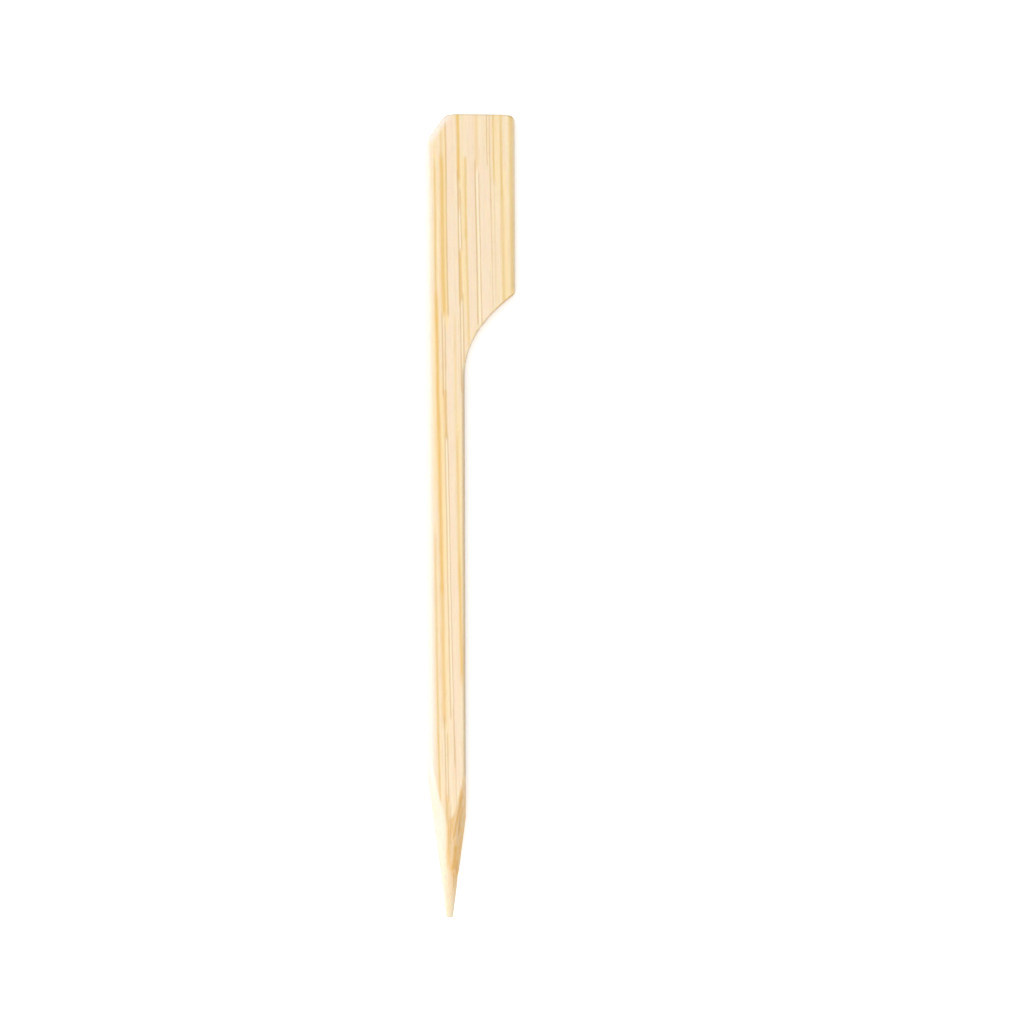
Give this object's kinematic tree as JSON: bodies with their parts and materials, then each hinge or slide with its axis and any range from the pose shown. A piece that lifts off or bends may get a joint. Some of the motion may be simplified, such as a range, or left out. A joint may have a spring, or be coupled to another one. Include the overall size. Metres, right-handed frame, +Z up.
{
  "type": "bamboo skewer",
  "caption": "Flat bamboo paddle skewer: a broad grip with one cut corner, a curved shoulder on one side, and a narrow shaft ground to a blunt point.",
  "frame": {"origin": "under the middle of the skewer, on the surface that it lies on", "axes": "+Y along the skewer from the point to the paddle, +X towards the side that the shoulder cuts away, +Z up out of the broad face"},
  "size_m": [0.01, 0.09, 0.0035],
  "materials": {
    "bamboo": "planed raw bamboo, satin, with honey-coloured grain lines"
  },
  "bodies": {
    "root": {"skewer": "bamboo"}
  },
  "joints": []
}
